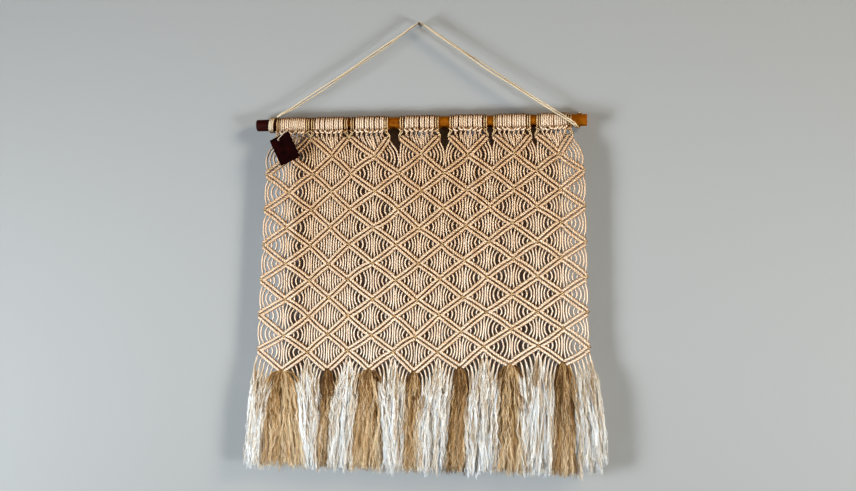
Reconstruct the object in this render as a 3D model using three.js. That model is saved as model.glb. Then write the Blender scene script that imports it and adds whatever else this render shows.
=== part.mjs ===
// A macrame wall hanging: a wooden dowel on a doubled hanger cord, with a panel of folded cotton cords
// knotted over folded jute cords, a long fringe, and a leather tag on a short tie.
// Millimetres. +Z is up, the front faces -Y, and the origin is the centre of the nail that holds it up.

import * as THREE from 'three';

// Dowel, with its axis along X
const dowelRadius = 9;
const dowelEnds = [-257, 253];
const dowelChamfer = 0.8;
const dowelSegments = 24;
const dowelDrop = 150;

// Cords
const cottonRadius = 1.5;
const juteRadius = 1.0;
const hangerRadius = 1.5;
const tieRadius = 0.6;
const fit = 0.3;

// The 16 cord legs of each repeat sit side by side on the dowel, between these places
const headsLeft = [-224, -169, -107, -30, 46, 113, 177];
const headsRight = [-170.5, -110, -46, 32, 105, 170, 231];
const legsPerRepeat = 16;
const legsPerHalf = 6;
const repeats = headsLeft.length;
const halves = 2 * repeats;

// Edges of the repeats in the panel, at the first and the last row of edge knots
const edgesTop = [-243, -166, -106, -31, 39, 111, 179, 249];
const edgesBottom = [-254, -174, -111, -40, 29, 99, 181, 255];

// Heights below the dowel's axis: a bar of hitches drops half a row each half repeat
const firstPointZ = -49;
const barDrop = 27.5;
const bars = 13;
const lastPointZ = firstPointZ - (bars - 1) * barDrop;
const firstEdgeZ = firstPointZ - barDrop;
const lastEdgeZ = lastPointZ + barDrop;
const fringeZ = -525;
const fringeSpread = 1.09;

// The cotton hangs in the middle layer; leaders that run right pass behind it, the others in front
const panelY = -7;
const layerStep = cottonRadius + juteRadius + 0.4;
const rowRise = 4.1;
const cornerZ = -19;
const turnReach = 1.5;
const pointSpread = 1.6;

// The folded cords hook over the dowel
const hookSteps = 5;
const hookBackAngle = -2.1;

// Hanger: two spans to the nail, a round turn at the right end and two wraps with tails at the left
const nailRadius = 1.5;
const strandHalfGap = 1.8;
const wrapPitch = 3.5;
const wrapStepAngle = Math.PI / 4;
const leftWrapX = -235.6;
const rightWrapX = 234.5;
const spanRise = 8;

// Leather tag, which hangs turned on its tie
const tagSize = [33.5, 43.5];
const tagThickness = 2.2;
const tagCorner = 1.5;
const tagCentre = [-207, -14.5 + tagThickness, -38];
const tagTurn = THREE.MathUtils.degToRad(25.5);
const tagHole = [-13, 14.5];
const tagHoleRadius = 2;
const tieTop = [-206.5, -14.2, -6];

const cottonMaterial = new THREE.MeshStandardMaterial({ color: 0xdccdae, roughness: 0.9, metalness: 0 });
const juteMaterial = new THREE.MeshStandardMaterial({ color: 0xa07a45, roughness: 0.95, metalness: 0 });
const hangerMaterial = new THREE.MeshStandardMaterial({ color: 0xe0d2b8, roughness: 0.9, metalness: 0 });
const woodMaterial = new THREE.MeshStandardMaterial({ color: 0x9a4f1c, roughness: 0.55, metalness: 0 });
const leatherMaterial = new THREE.MeshStandardMaterial({ color: 0x24120f, roughness: 0.6, metalness: 0 });

// A route of straight runs between chosen points. Its rings stand on the points and halve each turn.
class Route extends THREE.Curve {
  constructor(points) {
    super();
    this.points = points;
  }

  getPointAt(share, target = new THREE.Vector3()) {
    return target.copy(this.points[Math.round(share * (this.points.length - 1))]);
  }

  getTangentAt(share, target = new THREE.Vector3()) {
    const index = Math.round(share * (this.points.length - 1));
    const here = this.points[index];
    const before = this.points[Math.max(index - 1, 0)];
    const after = this.points[Math.min(index + 1, this.points.length - 1)];
    const arriving = new THREE.Vector3().subVectors(here, before).normalize();
    const leaving = new THREE.Vector3().subVectors(after, here).normalize();
    return target.addVectors(arriving, leaving).normalize();
  }
}

const point = (x, y, z) => new THREE.Vector3(x, y, z);

function polygon(radius, sides) {
  const shape = new THREE.Shape();
  for (let side = 0; side < sides; side += 1) {
    const angle = (side / sides) * 2 * Math.PI;
    const corner = [radius * Math.cos(angle), radius * Math.sin(angle)];
    if (side === 0) {
      shape.moveTo(...corner);
    } else {
      shape.lineTo(...corner);
    }
  }
  shape.closePath();
  return shape;
}

function cordMesh(name, points, radius, sides, material) {
  const settings = { steps: points.length - 1, extrudePath: new Route(points) };
  const mesh = new THREE.Mesh(new THREE.ExtrudeGeometry(polygon(radius, sides), settings), material);
  mesh.name = name;
  return mesh;
}

// Points round the dowel's axis. An angle is 0 at the top and grows towards the front.
function roundDowel(radius, fromAngle, toAngle, steps, fromX, toX = fromX) {
  const points = [];
  for (let step = 0; step <= steps; step += 1) {
    const share = step / steps;
    const angle = THREE.MathUtils.lerp(fromAngle, toAngle, share);
    const x = THREE.MathUtils.lerp(fromX, toX, share);
    points.push(point(x, -radius * Math.sin(angle), radius * Math.cos(angle)));
  }
  return points;
}

// Knot lines 0 to 14: even ones are edges of the repeats, odd ones run through their points
function edgeX(edge, z) {
  const share = (z - firstEdgeZ) / (lastEdgeZ - firstEdgeZ);
  return THREE.MathUtils.lerp(edgesTop[edge], edgesBottom[edge], share);
}

function lineX(line, z) {
  return (edgeX(Math.floor(line / 2), z) + edgeX(Math.ceil(line / 2), z)) / 2;
}

function headX(half, slot) {
  const repeat = Math.floor(half / 2);
  return THREE.MathUtils.lerp(headsLeft[repeat], headsRight[repeat], (slot + 0.5) / legsPerRepeat);
}

// From under the dowel at the front, over it, down its back, across to the other leg and back again
function hook(firstX, secondX, cordRadius) {
  const stepAngle = (Math.PI - hookBackAngle) / (hookSteps + 1);
  const radius = (dowelRadius + fit + cordRadius) / Math.cos(stepAngle / 2);
  const frontAngle = Math.PI - Math.asin(-panelY / radius);
  const up = roundDowel(radius, frontAngle, hookBackAngle, hookSteps, firstX);
  const down = roundDowel(radius, hookBackAngle, frontAngle, hookSteps, secondX);
  return [...up, ...down];
}

function cottonLeg(half, leg, slot) {
  const share = (leg + 0.5) / legsPerHalf;
  const panelX = (z) => THREE.MathUtils.lerp(lineX(half, z), lineX(half + 1, z), share);
  return [
    point(headX(half, slot), panelY, -(dowelRadius + 2 * cottonRadius)),
    point(panelX(firstPointZ), panelY, firstPointZ),
    point(panelX(lastPointZ), panelY, lastPointZ),
    point(panelX(lastPointZ) * fringeSpread, panelY, fringeZ),
  ];
}

function cottonCord(half, cord, name) {
  const firstSlot = half % 2 === 0 ? 2 : 2 + legsPerHalf;
  const slot = firstSlot + 2 * cord;
  const first = cottonLeg(half, 2 * cord, slot).reverse();
  const second = cottonLeg(half, 2 * cord + 1, slot + 1);
  const points = [...first, ...hook(headX(half, slot), headX(half, slot + 1), cottonRadius), ...second];
  return cordMesh(name, points, cottonRadius, 6, cottonMaterial);
}

// A leader runs down across the panel and turns round the outermost cord where it meets a side edge
function juteLeg(half, slot, row) {
  let direction = half % 2 === 0 ? 1 : -1;
  let line = half % 2 === 0 ? half : half + 1;
  const layerY = () => panelY + direction * layerStep;
  const startX = headX(half, slot);
  const points = [point(startX, panelY, -(dowelRadius + 2 * juteRadius + 1))];
  points.push(point(startX, layerY(), cornerZ + row * rowRise));
  for (let bar = 1; bar <= bars; bar += 1) {
    line += direction;
    const z = firstPointZ - (bar - 1) * barDrop + row * rowRise;
    const atEdge = line === 0 || line === halves;
    if (bar === 1) {
      points.push(point(lineX(line, z), layerY(), z));
    }
    if (atEdge) {
      const turnX = lineX(line, z) + direction * turnReach;
      points.push(point(turnX, layerY(), z));
      direction = -direction;
      points.push(point(turnX, layerY(), z - 2 * juteRadius));
    }
  }
  const pointX = lineX(line, lastPointZ) + direction * row * pointSpread;
  points.push(point(pointX, layerY(), lastPointZ + row * rowRise));
  points.push(point(pointX * fringeSpread, layerY(), fringeZ));
  return points;
}

function juteCord(half, name) {
  const outerSlot = half % 2 === 0 ? 0 : legsPerRepeat - 1;
  const innerSlot = half % 2 === 0 ? 1 : legsPerRepeat - 2;
  const upperRow = juteLeg(half, innerSlot, 1).reverse();
  const lowerRow = juteLeg(half, outerSlot, -1);
  const points = [...upperRow, ...hook(headX(half, innerSlot), headX(half, outerSlot), juteRadius), ...lowerRow];
  return cordMesh(name, points, juteRadius, 6, juteMaterial);
}

// The hanger's points are measured from the nail
function hangerCord() {
  const radius = (dowelRadius + fit + hangerRadius) / Math.cos(wrapStepAngle / 2);
  const raised = (points) => points.map((place) => place.setZ(place.z - dowelDrop));
  const spanPoint = (wrapX, y) => {
    const toNail = new THREE.Vector2(-wrapX, dowelDrop - radius).normalize();
    return point(wrapX + toNail.x * spanRise, y, radius - dowelDrop + toNail.y * spanRise);
  };
  const overNail = (y, direction) => {
    const reach = nailRadius + hangerRadius;
    return [-1, 0, 1].map((side) => point(side * direction * reach, y, reach * (1 - 0.5 * Math.abs(side))));
  };
  const turn = 2 * Math.PI;
  const tailAngle = 0.7 * Math.PI;
  const wrapSteps = 11;
  const frontWrap = raised(roundDowel(radius, tailAngle, -turn, wrapSteps, leftWrapX, leftWrapX + wrapPitch));
  const backX = leftWrapX + 2 * wrapPitch;
  const backWrap = raised(roundDowel(radius, 0, turn + tailAngle, wrapSteps, backX, backX + wrapPitch));
  const roundTurn = raised(roundDowel(radius, 0, turn, 8, rightWrapX, rightWrapX + wrapPitch));
  const points = [
    ...frontWrap,
    spanPoint(leftWrapX + wrapPitch, -strandHalfGap),
    ...overNail(-strandHalfGap, 1),
    spanPoint(rightWrapX, -strandHalfGap),
    ...roundTurn,
    spanPoint(rightWrapX + wrapPitch, strandHalfGap),
    ...overNail(strandHalfGap, -1),
    spanPoint(backX, strandHalfGap),
    ...backWrap,
  ];
  return cordMesh('hanger_cord', points, hangerRadius, 8, hangerMaterial);
}

function dowelRod() {
  const half = (dowelEnds[1] - dowelEnds[0]) / 2;
  const profile = [
    new THREE.Vector2(0, -half),
    new THREE.Vector2(dowelRadius - dowelChamfer, -half),
    new THREE.Vector2(dowelRadius, -half + dowelChamfer),
    new THREE.Vector2(dowelRadius, half - dowelChamfer),
    new THREE.Vector2(dowelRadius - dowelChamfer, half),
    new THREE.Vector2(0, half),
  ];
  const mesh = new THREE.Mesh(new THREE.LatheGeometry(profile, dowelSegments), woodMaterial);
  mesh.name = 'dowel_rod';
  mesh.rotation.z = -Math.PI / 2;
  mesh.position.x = (dowelEnds[0] + dowelEnds[1]) / 2;
  return mesh;
}

function tagShape() {
  const [x, y] = [tagSize[0] / 2, tagSize[1] / 2];
  const shape = new THREE.Shape();
  shape.moveTo(tagCorner - x, -y);
  shape.lineTo(x - tagCorner, -y);
  shape.absarc(x - tagCorner, tagCorner - y, tagCorner, -Math.PI / 2, 0);
  shape.absarc(x - tagCorner, y - tagCorner, tagCorner, 0, Math.PI / 2);
  shape.absarc(tagCorner - x, y - tagCorner, tagCorner, Math.PI / 2, Math.PI);
  shape.absarc(tagCorner - x, tagCorner - y, tagCorner, Math.PI, 1.5 * Math.PI);
  const hole = new THREE.Path();
  hole.absarc(...tagHole, tagHoleRadius, 0, 2 * Math.PI);
  shape.holes.push(hole);
  return shape;
}

function leatherTag() {
  const settings = { depth: tagThickness, bevelEnabled: false, curveSegments: 4 };
  const mesh = new THREE.Mesh(new THREE.ExtrudeGeometry(tagShape(), settings), leatherMaterial);
  mesh.name = 'leather_tag';
  mesh.rotation.x = Math.PI / 2;
  const turned = new THREE.Group();
  turned.position.set(...tagCentre);
  turned.rotation.y = -tagTurn;
  turned.add(mesh);
  return turned;
}

function tagTie() {
  const holeX = tagCentre[0] + tagHole[0] * Math.cos(tagTurn) - tagHole[1] * Math.sin(tagTurn);
  const holeZ = tagCentre[2] + tagHole[0] * Math.sin(tagTurn) + tagHole[1] * Math.cos(tagTurn);
  const frontY = tagCentre[1] - tagThickness - fit - tieRadius;
  const points = [
    point(holeX, tagCentre[1] - fit, holeZ),
    point(holeX, frontY + tieRadius, holeZ),
    point(holeX + tieRadius, frontY, holeZ + tieRadius),
    point(tieTop[0] - 1, frontY, tieTop[2] - 6),
    point(...tieTop),
  ];
  return cordMesh('tag_tie', points, tieRadius, 8, cottonMaterial);
}

const wallHanging = new THREE.Group();
wallHanging.add(hangerCord());

const hanging = new THREE.Group();
hanging.position.z = -dowelDrop;
hanging.add(dowelRod());
hanging.add(leatherTag());
hanging.add(tagTie());

const twoDigits = (number) => String(number).padStart(2, '0');
for (let half = 0; half < halves; half += 1) {
  hanging.add(juteCord(half, `jute_cord_${twoDigits(half + 1)}`));
  for (let cord = 0; cord < legsPerHalf / 2; cord += 1) {
    const number = (half * legsPerHalf) / 2 + cord + 1;
    hanging.add(cottonCord(half, cord, `cotton_cord_${twoDigits(number)}`));
  }
}
wallHanging.add(hanging);

export default wallHanging;
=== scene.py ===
"""A macrame wall hanging: knotted cotton and jute cords, a combed-out fringe, a dowel, a doubled hanger cord
and a leather tag. Metres, +Z up, front towards -Y, origin at the nail."""

import math

import bmesh
import bpy
import numpy as np
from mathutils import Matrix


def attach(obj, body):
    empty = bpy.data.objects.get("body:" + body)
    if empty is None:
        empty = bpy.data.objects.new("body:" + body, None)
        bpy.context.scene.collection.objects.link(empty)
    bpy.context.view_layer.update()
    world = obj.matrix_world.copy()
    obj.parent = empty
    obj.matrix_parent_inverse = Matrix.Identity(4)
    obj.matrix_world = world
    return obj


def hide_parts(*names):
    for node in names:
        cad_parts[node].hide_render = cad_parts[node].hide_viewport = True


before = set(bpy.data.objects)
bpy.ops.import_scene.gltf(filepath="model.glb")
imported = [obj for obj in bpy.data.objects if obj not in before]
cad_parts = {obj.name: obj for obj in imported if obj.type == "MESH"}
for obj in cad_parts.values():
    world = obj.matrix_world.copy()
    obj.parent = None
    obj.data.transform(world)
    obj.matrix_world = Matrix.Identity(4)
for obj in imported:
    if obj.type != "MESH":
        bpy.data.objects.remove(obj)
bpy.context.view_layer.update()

MM = 0.001
TURN = 2 * math.pi
RIGHT = np.array([1.0, 0, 0])
BACK = np.array([0, 1.0, 0])

# Dowel
DOWEL_RADIUS = 9 * MM
DOWEL_ENDS = (-257 * MM, 253 * MM)
DOWEL_DROP = 150 * MM
# The dowel's colour turns from dark at its left end to honey between these places
DARK_END_SPAN = (-0.238, -0.06)

# The 16 cord legs of each repeat sit side by side on the dowel, between these places
HEADS_LEFT = [x * MM for x in (-224, -169, -107, -30, 46, 113, 177)]
HEADS_RIGHT = [x * MM for x in (-170.5, -110, -46, 32, 105, 170, 231)]
LEGS_PER_REPEAT = 16
LEGS_PER_HALF = 6
HALVES = 2 * len(HEADS_LEFT)

# Edges of the repeats in the panel, at the first and the last row of edge knots
EDGES_TOP = [x * MM for x in (-240, -166, -106, -31, 39, 111, 179, 249)]
EDGES_BOTTOM = [x * MM for x in (-254, -174, -111, -40, 29, 99, 181, 255)]

# Heights below the dowel's axis, and the drop from one row of knots to the next along each line
CORNER_Z = -20.5 * MM
FIRST_POINT_Z = -49.5 * MM
LINE_DROPS = [
    drop * MM
    for drop in (27.2, 27.6, 27.4, 27.4, 27.1, 27.3, 27.2, 27.5, 27.0, 26.8, 26.4, 26.2, 26.2, 26.0, 26.2)
]
BARS = 13
FIRST_EDGE_Z = -76.5 * MM
LAST_EDGE_Z = -351.5 * MM
FRINGE_Z = -524 * MM

# Cords and knots
COTTON_RADIUS = 1.4 * MM
HEAD_TONE = 0.6
FREE_TONE = 0.3
HITCH_TONE = 0.05
CORD_DEPTH = 1.25
JUTE_RADIUS = 1.0 * MM
PANEL_Y = -7 * MM
ROW_OFFSET = 3.1 * MM
WRAP_RADIUS = 1.8 * MM
WRAP_HALF_WIDTH = 0.285
WRAP_HALF_HEIGHT = 0.8 * MM
TUCK_DEPTH = 1.2 * MM
NEAR_END = 6.2 * MM
FAR_END = 5.6 * MM
ARC_PULL = 0.93
ARC_BULGE = 0.27
ARC_SPACING = 3.9 * MM
KNOT_OFFSET = 1.25 * MM

rng = np.random.default_rng(7)


# ---------------------------------------------------------------- camera, light and stage

CAMERA_AZIMUTH = math.radians(9.6)
CAMERA_DISTANCE = 1803 * MM
CAMERA_TARGET = (14 * MM, PANEL_Y, -337 * MM)
WALL_Y = 12.8 * MM
FLOOR_Z = -1.45
ROOM_REACH = 5
ROOM_TOP = 2.6
WALL_COLOUR = (0.39, 0.383, 0.375)
FLOOR_COLOUR = (0.46, 0.44, 0.41)
ROOM_COLOUR = (0.46, 0.42, 0.38)
NAIL_COLOUR = (0.12, 0.10, 0.09)
MIDDLE = (0, 0, -0.34)
# Each lamp: name, place, aim, size, power, colour, spread in degrees. The last one lights only the room.
LAMPS = [
    ("key", (4.3, -2.1, 1.9), MIDDLE, 1.3, 86, (1.0, 0.84, 0.60), 130),
    ("fill", (-4.3, -2.1, -0.4), MIDDLE, 1.5, 78, (0.86, 0.93, 1.0), 130),
    ("low_left", (-2.2, -1.1, -1.05), (-0.35, 0, -0.5), 0.7, 7.6, (0.80, 0.92, 1.0), 60),
    ("low_right", (2.4, -1.2, -1.05), (0.35, 0, -0.5), 0.7, 8.0, (0.84, 0.94, 1.0), 60),
    ("back", (0.6, 2.6, 0.9), MIDDLE, 1.8, 5, (1.0, 0.88, 0.76), 100),
    ("room", (0, -0.5, 0.8), (0, -5, 0.8), 1.5, 120, (1.0, 0.97, 0.93), 180),
]


def make_camera():
    camera = bpy.data.objects.new("camera", bpy.data.cameras.new("camera"))
    bpy.context.scene.collection.objects.link(camera)
    camera.data.lens = 50
    camera.data.sensor_width = 36
    x, y, z = CAMERA_TARGET
    camera.location = (
        x + CAMERA_DISTANCE * math.sin(CAMERA_AZIMUTH),
        y - CAMERA_DISTANCE * math.cos(CAMERA_AZIMUTH),
        z,
    )
    camera.rotation_euler = (math.pi / 2, 0, CAMERA_AZIMUTH)
    bpy.context.scene.camera = camera


def area_light(name, place, aim, size, power, colour, spread):
    light = bpy.data.lights.new(name, "AREA")
    light.shape = "DISK"
    light.size = size
    light.energy = power
    light.color = colour
    light.spread = math.radians(spread)
    lamp = bpy.data.objects.new(name, light)
    lamp.visible_camera = False
    bpy.context.scene.collection.objects.link(lamp)
    lamp.location = place
    direction = np.subtract(aim, place)
    flat = math.hypot(direction[0], direction[1])
    lamp.rotation_euler = (math.atan2(flat, -direction[2]), 0, math.atan2(-direction[0], direction[1]))


def make_light():
    for lamp in LAMPS:
        area_light(*lamp)
    world = bpy.data.worlds.new("world")
    world.use_nodes = True
    set_values(world.node_tree.nodes["Background"], {"Color": (1.0, 0.72, 0.48, 1), "Strength": 0.012})
    bpy.context.scene.world = world
    bpy.context.scene.view_settings.view_transform = "Standard"


def flat_square(name, corners, material):
    """One side of the room. It is left out of the light that bounces between surfaces."""
    mesh = bpy.data.meshes.new(name)
    mesh.from_pydata(corners, [], [tuple(range(len(corners)))])
    mesh.materials.append(material)
    square = bpy.data.objects.new(name, mesh)
    bpy.context.scene.collection.objects.link(square)
    square.visible_diffuse = False
    return square


def wall_material():
    """Pale matte paint on the side that faces the room. Its back lets the hanging be seen from behind."""
    material, nodes, links, shader = new_material("wall_paint", 0.9)
    set_values(shader, {"Base Color": (*WALL_COLOUR, 1)})
    clear = nodes.new("ShaderNodeBsdfTransparent")
    side = nodes.new("ShaderNodeNewGeometry")
    mix = nodes.new("ShaderNodeMixShader")
    links.new(side.outputs["Backfacing"], mix.inputs["Fac"])
    links.new(shader.outputs["BSDF"], mix.inputs[1])
    links.new(clear.outputs["BSDF"], mix.inputs[2])
    links.new(mix.outputs["Shader"], nodes["Material Output"].inputs["Surface"])
    return material


def plain_material(name, colour, roughness=0.85, metallic=0.0):
    material, _, _, shader = new_material(name, roughness)
    set_values(shader, {"Base Color": (*colour, 1), "Metallic": metallic})
    return material


def make_stage():
    """The wall it hangs on, a nail in it, and a plain pale room in front of it."""
    left, right, top = -ROOM_REACH, ROOM_REACH, ROOM_TOP
    low, near, far = FLOOR_Z, -ROOM_REACH, WALL_Y
    wall_corners = [(left, far, low), (right, far, low), (right, far, top), (left, far, top)]
    wall = flat_square("wall", wall_corners, wall_material())
    wall.visible_shadow = False
    floor_corners = [(left, far, low), (left, near, low), (right, near, low), (right, far, low)]
    flat_square("floor", floor_corners, plain_material("floor_paint", FLOOR_COLOUR))
    room_paint = plain_material("room_paint", ROOM_COLOUR)
    far_corners = [(left, near, low), (left, near, top), (right, near, top), (right, near, low)]
    flat_square("far_wall", far_corners, room_paint)
    for x, name in ((left, "left_wall"), (right, "right_wall")):
        flat_square(name, [(x, near, low), (x, far, low), (x, far, top), (x, near, top)], room_paint)
    nail = TubeSet()
    nail_y = np.array([WALL_Y + 8 * MM, -3.6 * MM, -4.2 * MM, -4.6 * MM, -5.6 * MM, -6.0 * MM])
    nail_radius = np.array([1.3, 1.3, 1.5, 2.6, 2.6, 2.2]) * MM
    nail.add(np.array([(0, y, 0) for y in nail_y]), nail_radius, nail_radius, 20)
    nail_steel = plain_material("nail_steel", NAIL_COLOUR, roughness=0.45, metallic=0.7)
    nail.build("nail", [nail_steel])


# ---------------------------------------------------------------- tubes and fibres as meshes


def unit(vectors):
    length = np.linalg.norm(vectors, axis=-1, keepdims=True)
    return vectors / np.maximum(length, 1e-12)


def smooth_route(points, step):
    """A smooth curve through the points, sampled about every step. Near points keep it from swinging wide."""
    points = np.asarray(points, float)
    gaps = np.linalg.norm(np.diff(points, axis=0), axis=1)[:, None]
    slopes = np.diff(points, axis=0) / gaps
    between = (slopes[:-1] * gaps[1:] + slopes[1:] * gaps[:-1]) / (gaps[:-1] + gaps[1:])
    tangents = np.vstack([slopes[:1], between, slopes[-1:]])
    pieces = []
    for index, gap in enumerate(gaps[:, 0]):
        first, last = points[index], points[index + 1]
        leaving, arriving = tangents[index], tangents[index + 1]
        count = max(1, int(round(gap / step)))
        t = np.linspace(0, 1, count, endpoint=False)[:, None]
        ease = 3 * t**2 - 2 * t**3
        bend = leaving * (t - 2 * t**2 + t**3) + arriving * (t**3 - t**2)
        pieces.append(first + (last - first) * ease + bend * gap)
    pieces.append(points[-1:])
    return np.vstack(pieces)


class TubeSet:
    """Gathers tubes, then makes them one mesh with a map of turns round and lengths along each tube."""

    def __init__(self):
        self.points = []
        self.quads = []
        self.caps = []
        self.round_map = []
        self.shades = []
        self.slots = []
        self.cap_slots = []
        self.count = 0

    def add(self, centres, half_width, half_height, sides, shade=0.5, slot=0, wide=(1, 0, 0), lobes=None):
        """One tube, or several with the same number of rings. lobes is (how many, turns per metre, depth)."""
        centres = np.asarray(centres, float)
        if centres.ndim == 2:
            centres = centres[None]
        tubes, rings, _ = centres.shape
        along = unit(np.gradient(centres, axis=1))
        wide = np.broadcast_to(wide, centres.shape)
        wide = unit(wide - (wide * along).sum(-1, keepdims=True) * along)
        thin = np.cross(along, wide)
        steps = np.linalg.norm(np.diff(centres, axis=1), axis=2)
        lengths = np.concatenate([np.zeros((tubes, 1)), np.cumsum(steps, axis=1)], axis=1)
        angles = np.arange(sides) / sides * TURN
        width = np.broadcast_to(half_width, (tubes, rings))[..., None, None]
        height = np.broadcast_to(half_height, (tubes, rings))[..., None, None]
        swell = np.ones((tubes, rings, sides, 1))
        if lobes:
            number, twist, depth = lobes
            phase = number * (angles[None, None] - TURN * twist * lengths[..., None]) / 2
            swell = (1 - depth + depth * 1.6 * np.abs(np.cos(phase)))[..., None]
        sideways = width * np.cos(angles)[:, None] * wide[:, :, None]
        upwards = height * np.sin(angles)[:, None] * thin[:, :, None]
        ring_points = centres[:, :, None] + swell * (sideways + upwards)
        self.points.append(ring_points.reshape(-1, 3))
        index = self.count + np.arange(tubes * rings * sides).reshape(tubes, rings, sides)
        after = np.roll(index, -1, axis=2)
        quads = np.stack([index[:, :-1], after[:, :-1], after[:, 1:], index[:, 1:]], axis=-1).reshape(-1, 4)
        self.quads.append(quads)
        self.caps.append(np.concatenate([index[:, 0, ::-1], index[:, -1]]))
        self.cap_slots.append(np.full(2 * tubes, slot))
        turn = np.arange(sides + 1) / sides
        shape = (tubes, rings - 1, sides)
        lower = np.broadcast_to(turn[:-1], shape)
        upper = np.broadcast_to(turn[1:], shape)
        start = np.broadcast_to(lengths[:, :-1, None], shape)
        stop = np.broadcast_to(lengths[:, 1:, None], shape)
        corner_turn = np.stack([lower, upper, upper, lower], -1)
        corner_length = np.stack([start, start, stop, stop], -1)
        self.round_map.append(np.stack([corner_turn, corner_length / (10 * MM)], -1).reshape(-1, 2))
        shade = np.asarray(shade, float)
        if shade.ndim == 1 and len(shade) == tubes:
            shade = shade[:, None]
        self.shades.append(np.repeat(np.broadcast_to(shade, (tubes, rings)).ravel(), sides))
        self.slots.append(np.full(len(quads), slot))
        self.count += tubes * rings * sides

    def build(self, name, materials):
        points = np.vstack(self.points)
        quads = np.vstack(self.quads)
        cap_sizes = np.concatenate([np.full(len(caps), caps.shape[1]) for caps in self.caps])
        sizes = np.concatenate([np.full(len(quads), 4), cap_sizes]).astype(np.int32)
        loops = np.concatenate([quads.ravel(), *[caps.ravel() for caps in self.caps]]).astype(np.int32)
        mesh = bpy.data.meshes.new(name)
        mesh.vertices.add(len(points))
        mesh.vertices.foreach_set("co", points.astype(np.float32).ravel())
        mesh.loops.add(len(loops))
        mesh.loops.foreach_set("vertex_index", loops)
        mesh.polygons.add(len(sizes))
        mesh.polygons.foreach_set("loop_start", np.concatenate([[0], np.cumsum(sizes)[:-1]]).astype(np.int32))
        slots = np.concatenate([*self.slots, *self.cap_slots]).astype(np.int32)
        mesh.polygons.foreach_set("material_index", slots)
        mesh.polygons.foreach_set("use_smooth", np.ones(len(sizes), bool))
        layer = mesh.uv_layers.new(name="round")
        cap_map = np.zeros((int(cap_sizes.sum()), 2))
        layer.data.foreach_set("uv", np.vstack([*self.round_map, cap_map]).astype(np.float32).ravel())
        shade = mesh.attributes.new("shade", "FLOAT", "POINT")
        shade.data.foreach_set("value", np.concatenate(self.shades).astype(np.float32))
        for material in materials:
            mesh.materials.append(material)
        mesh.update(calc_edges=True)
        mesh.validate()
        piece = bpy.data.objects.new(name, mesh)
        bpy.context.scene.collection.objects.link(piece)
        return piece


# ---------------------------------------------------------------- the pattern's lines and knots


def edge_x(edge, z):
    share = (z - FIRST_EDGE_Z) / (LAST_EDGE_Z - FIRST_EDGE_Z)
    return EDGES_TOP[edge] + (EDGES_BOTTOM[edge] - EDGES_TOP[edge]) * share


def line_x(line, z):
    return (edge_x(line // 2, z) + edge_x((line + 1) // 2, z)) / 2


NODE_DRIFT = rng.normal(0, 0.7 * MM, (HALVES + 1, BARS + 1, 2))
BAR_BOW = rng.normal(0.3 * MM, 1.1 * MM, (HALVES, BARS + 1))


def node_place(half, bar, side_line):
    """Where the bar's end sits: bar 0's end is the corner under the dowel, the others are on the lines."""
    if bar == 0:
        x = HEADS_LEFT[half // 2] if half % 2 == 0 else HEADS_RIGHT[half // 2]
        return np.array([x, PANEL_Y, CORNER_Z])
    z = FIRST_POINT_Z - (bar - 1) * LINE_DROPS[side_line]
    drift = NODE_DRIFT[side_line, bar]
    return np.array([line_x(side_line, z) + drift[0], PANEL_Y, z + drift[1]])


def bar_ends(half, bar):
    """The upper and lower end of one bar. Odd bars run down to a point's line, even ones to an edge's."""
    edge_line = half if half % 2 == 0 else half + 1
    point_line = half + 1 if half % 2 == 0 else half
    upper_line, lower_line = (edge_line, point_line) if bar % 2 == 1 else (point_line, edge_line)
    return node_place(half, bar - 1, upper_line), node_place(half, bar, lower_line)


def bar_frame(half, bar):
    upper, lower = bar_ends(half, bar)
    length = np.linalg.norm(lower - upper)
    along = (lower - upper) / length
    right = along if along[0] > 0 else -along
    raised = np.array([-right[2], 0, right[0]])
    return upper, along, right, raised, length


def row_place(half, bar, row, distance):
    """A point of one row's leader, the given distance down the bar. The rows draw together near the knots."""
    upper, along, _, raised, length = bar_frame(half, bar)
    share = distance / length
    from_end = min(distance, length - distance)
    close = max(0.0, 1 - from_end / (9 * MM)) ** 1.5
    offset = row * ROW_OFFSET * (1 - 0.28 * close)
    bow = BAR_BOW[half, bar] * 4 * share * (1 - share)
    return upper + along * distance + raised * (offset + bow)


def hitch_centre(half, bar, row, leg):
    """Row 1 is the upper row and -1 the lower. Leg 0 is the leftmost of the half repeat."""
    _, along, right, raised, length = bar_frame(half, bar)
    from_top = leg if along[0] > 0 else LEGS_PER_HALF - 1 - leg
    first = NEAR_END if row > 0 else FAR_END
    pitch = (length - NEAR_END - FAR_END) / (LEGS_PER_HALF - 1)
    return row_place(half, bar, row, first + from_top * pitch), right, raised, pitch


HITCH_STEPS = 18


def hitch(half, bar, row, leg):
    """A double half hitch: down behind the leader, twice up its front, and out behind again."""
    centre, right, raised, pitch = hitch_centre(half, bar, row, leg)
    share = np.linspace(0, 1, HITCH_STEPS + 1)
    angle = share * 2 * TURN
    tuck = np.clip(1 - np.minimum(share, 1 - share) / 0.12, 0, 1) ** 2
    radius = WRAP_RADIUS + TUCK_DEPTH * tuck
    swap = np.clip((share - 0.36) / 0.28, 0, 1)
    side = (2 * (3 * swap**2 - 2 * swap**3) - 1) * (1 - 0.25 * tuck)
    slant = 0.07 * np.sin(angle)
    shift = pitch * (0.25 * side + slant)
    depth = np.cos(angle)
    height = -np.sin(angle)
    centres = centre + shift[:, None] * right
    centres = centres + (radius * height)[:, None] * raised + (radius * depth)[:, None] * BACK
    widths = WRAP_HALF_WIDTH * pitch * (1 - 0.3 * tuck)
    heights = WRAP_HALF_HEIGHT * (1 + 0.3 * tuck)
    wides = np.tile(right, (len(centres), 1))
    # The hitch's tone carries the painted height shade.
    return centres, widths, heights, wides, painted_height_tone(centres, HITCH_TONE)


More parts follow.
